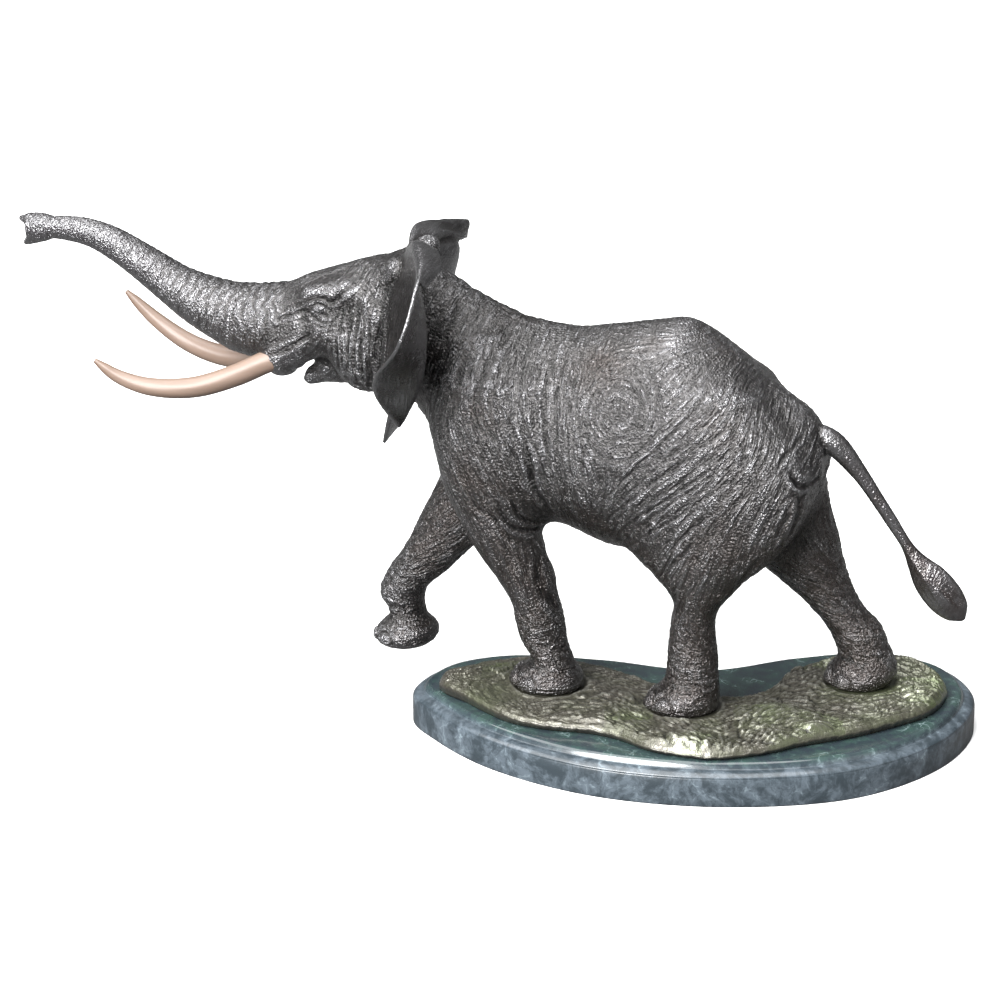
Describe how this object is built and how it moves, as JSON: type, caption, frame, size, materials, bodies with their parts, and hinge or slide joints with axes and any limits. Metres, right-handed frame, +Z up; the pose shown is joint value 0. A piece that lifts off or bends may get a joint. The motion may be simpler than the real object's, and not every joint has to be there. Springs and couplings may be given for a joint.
{
  "type": "elephant sculpture",
  "caption": "Striding bronze bull elephant with trunk held out, pale tusks and spread ears, on a patch of cast grassland and a kidney-shaped green marble base.",
  "frame": {"origin": "underside of the marble base, near its middle", "axes": "+X along the base's length, from the elephant's head end to its tail end; +Z up; the viewer's side is -Y"},
  "size_m": [0.7139, 0.3195, 0.3734],
  "materials": {
    "bronze": "cast bronze with a dark brown-black patina, rubbed bright on the wrinkles",
    "ground_bronze": "cast bronze with a brown and olive-green patina",
    "tusk": "smooth cream resin, tanned along the underside",
    "marble": "polished blue-green marble with pale veins"
  },
  "bodies": {
    "root": {"elephant": "bronze", "left_tusk": "tusk", "right_tusk": "tusk", "ground": "ground_bronze", "marble_base": "marble"}
  },
  "joints": []
}
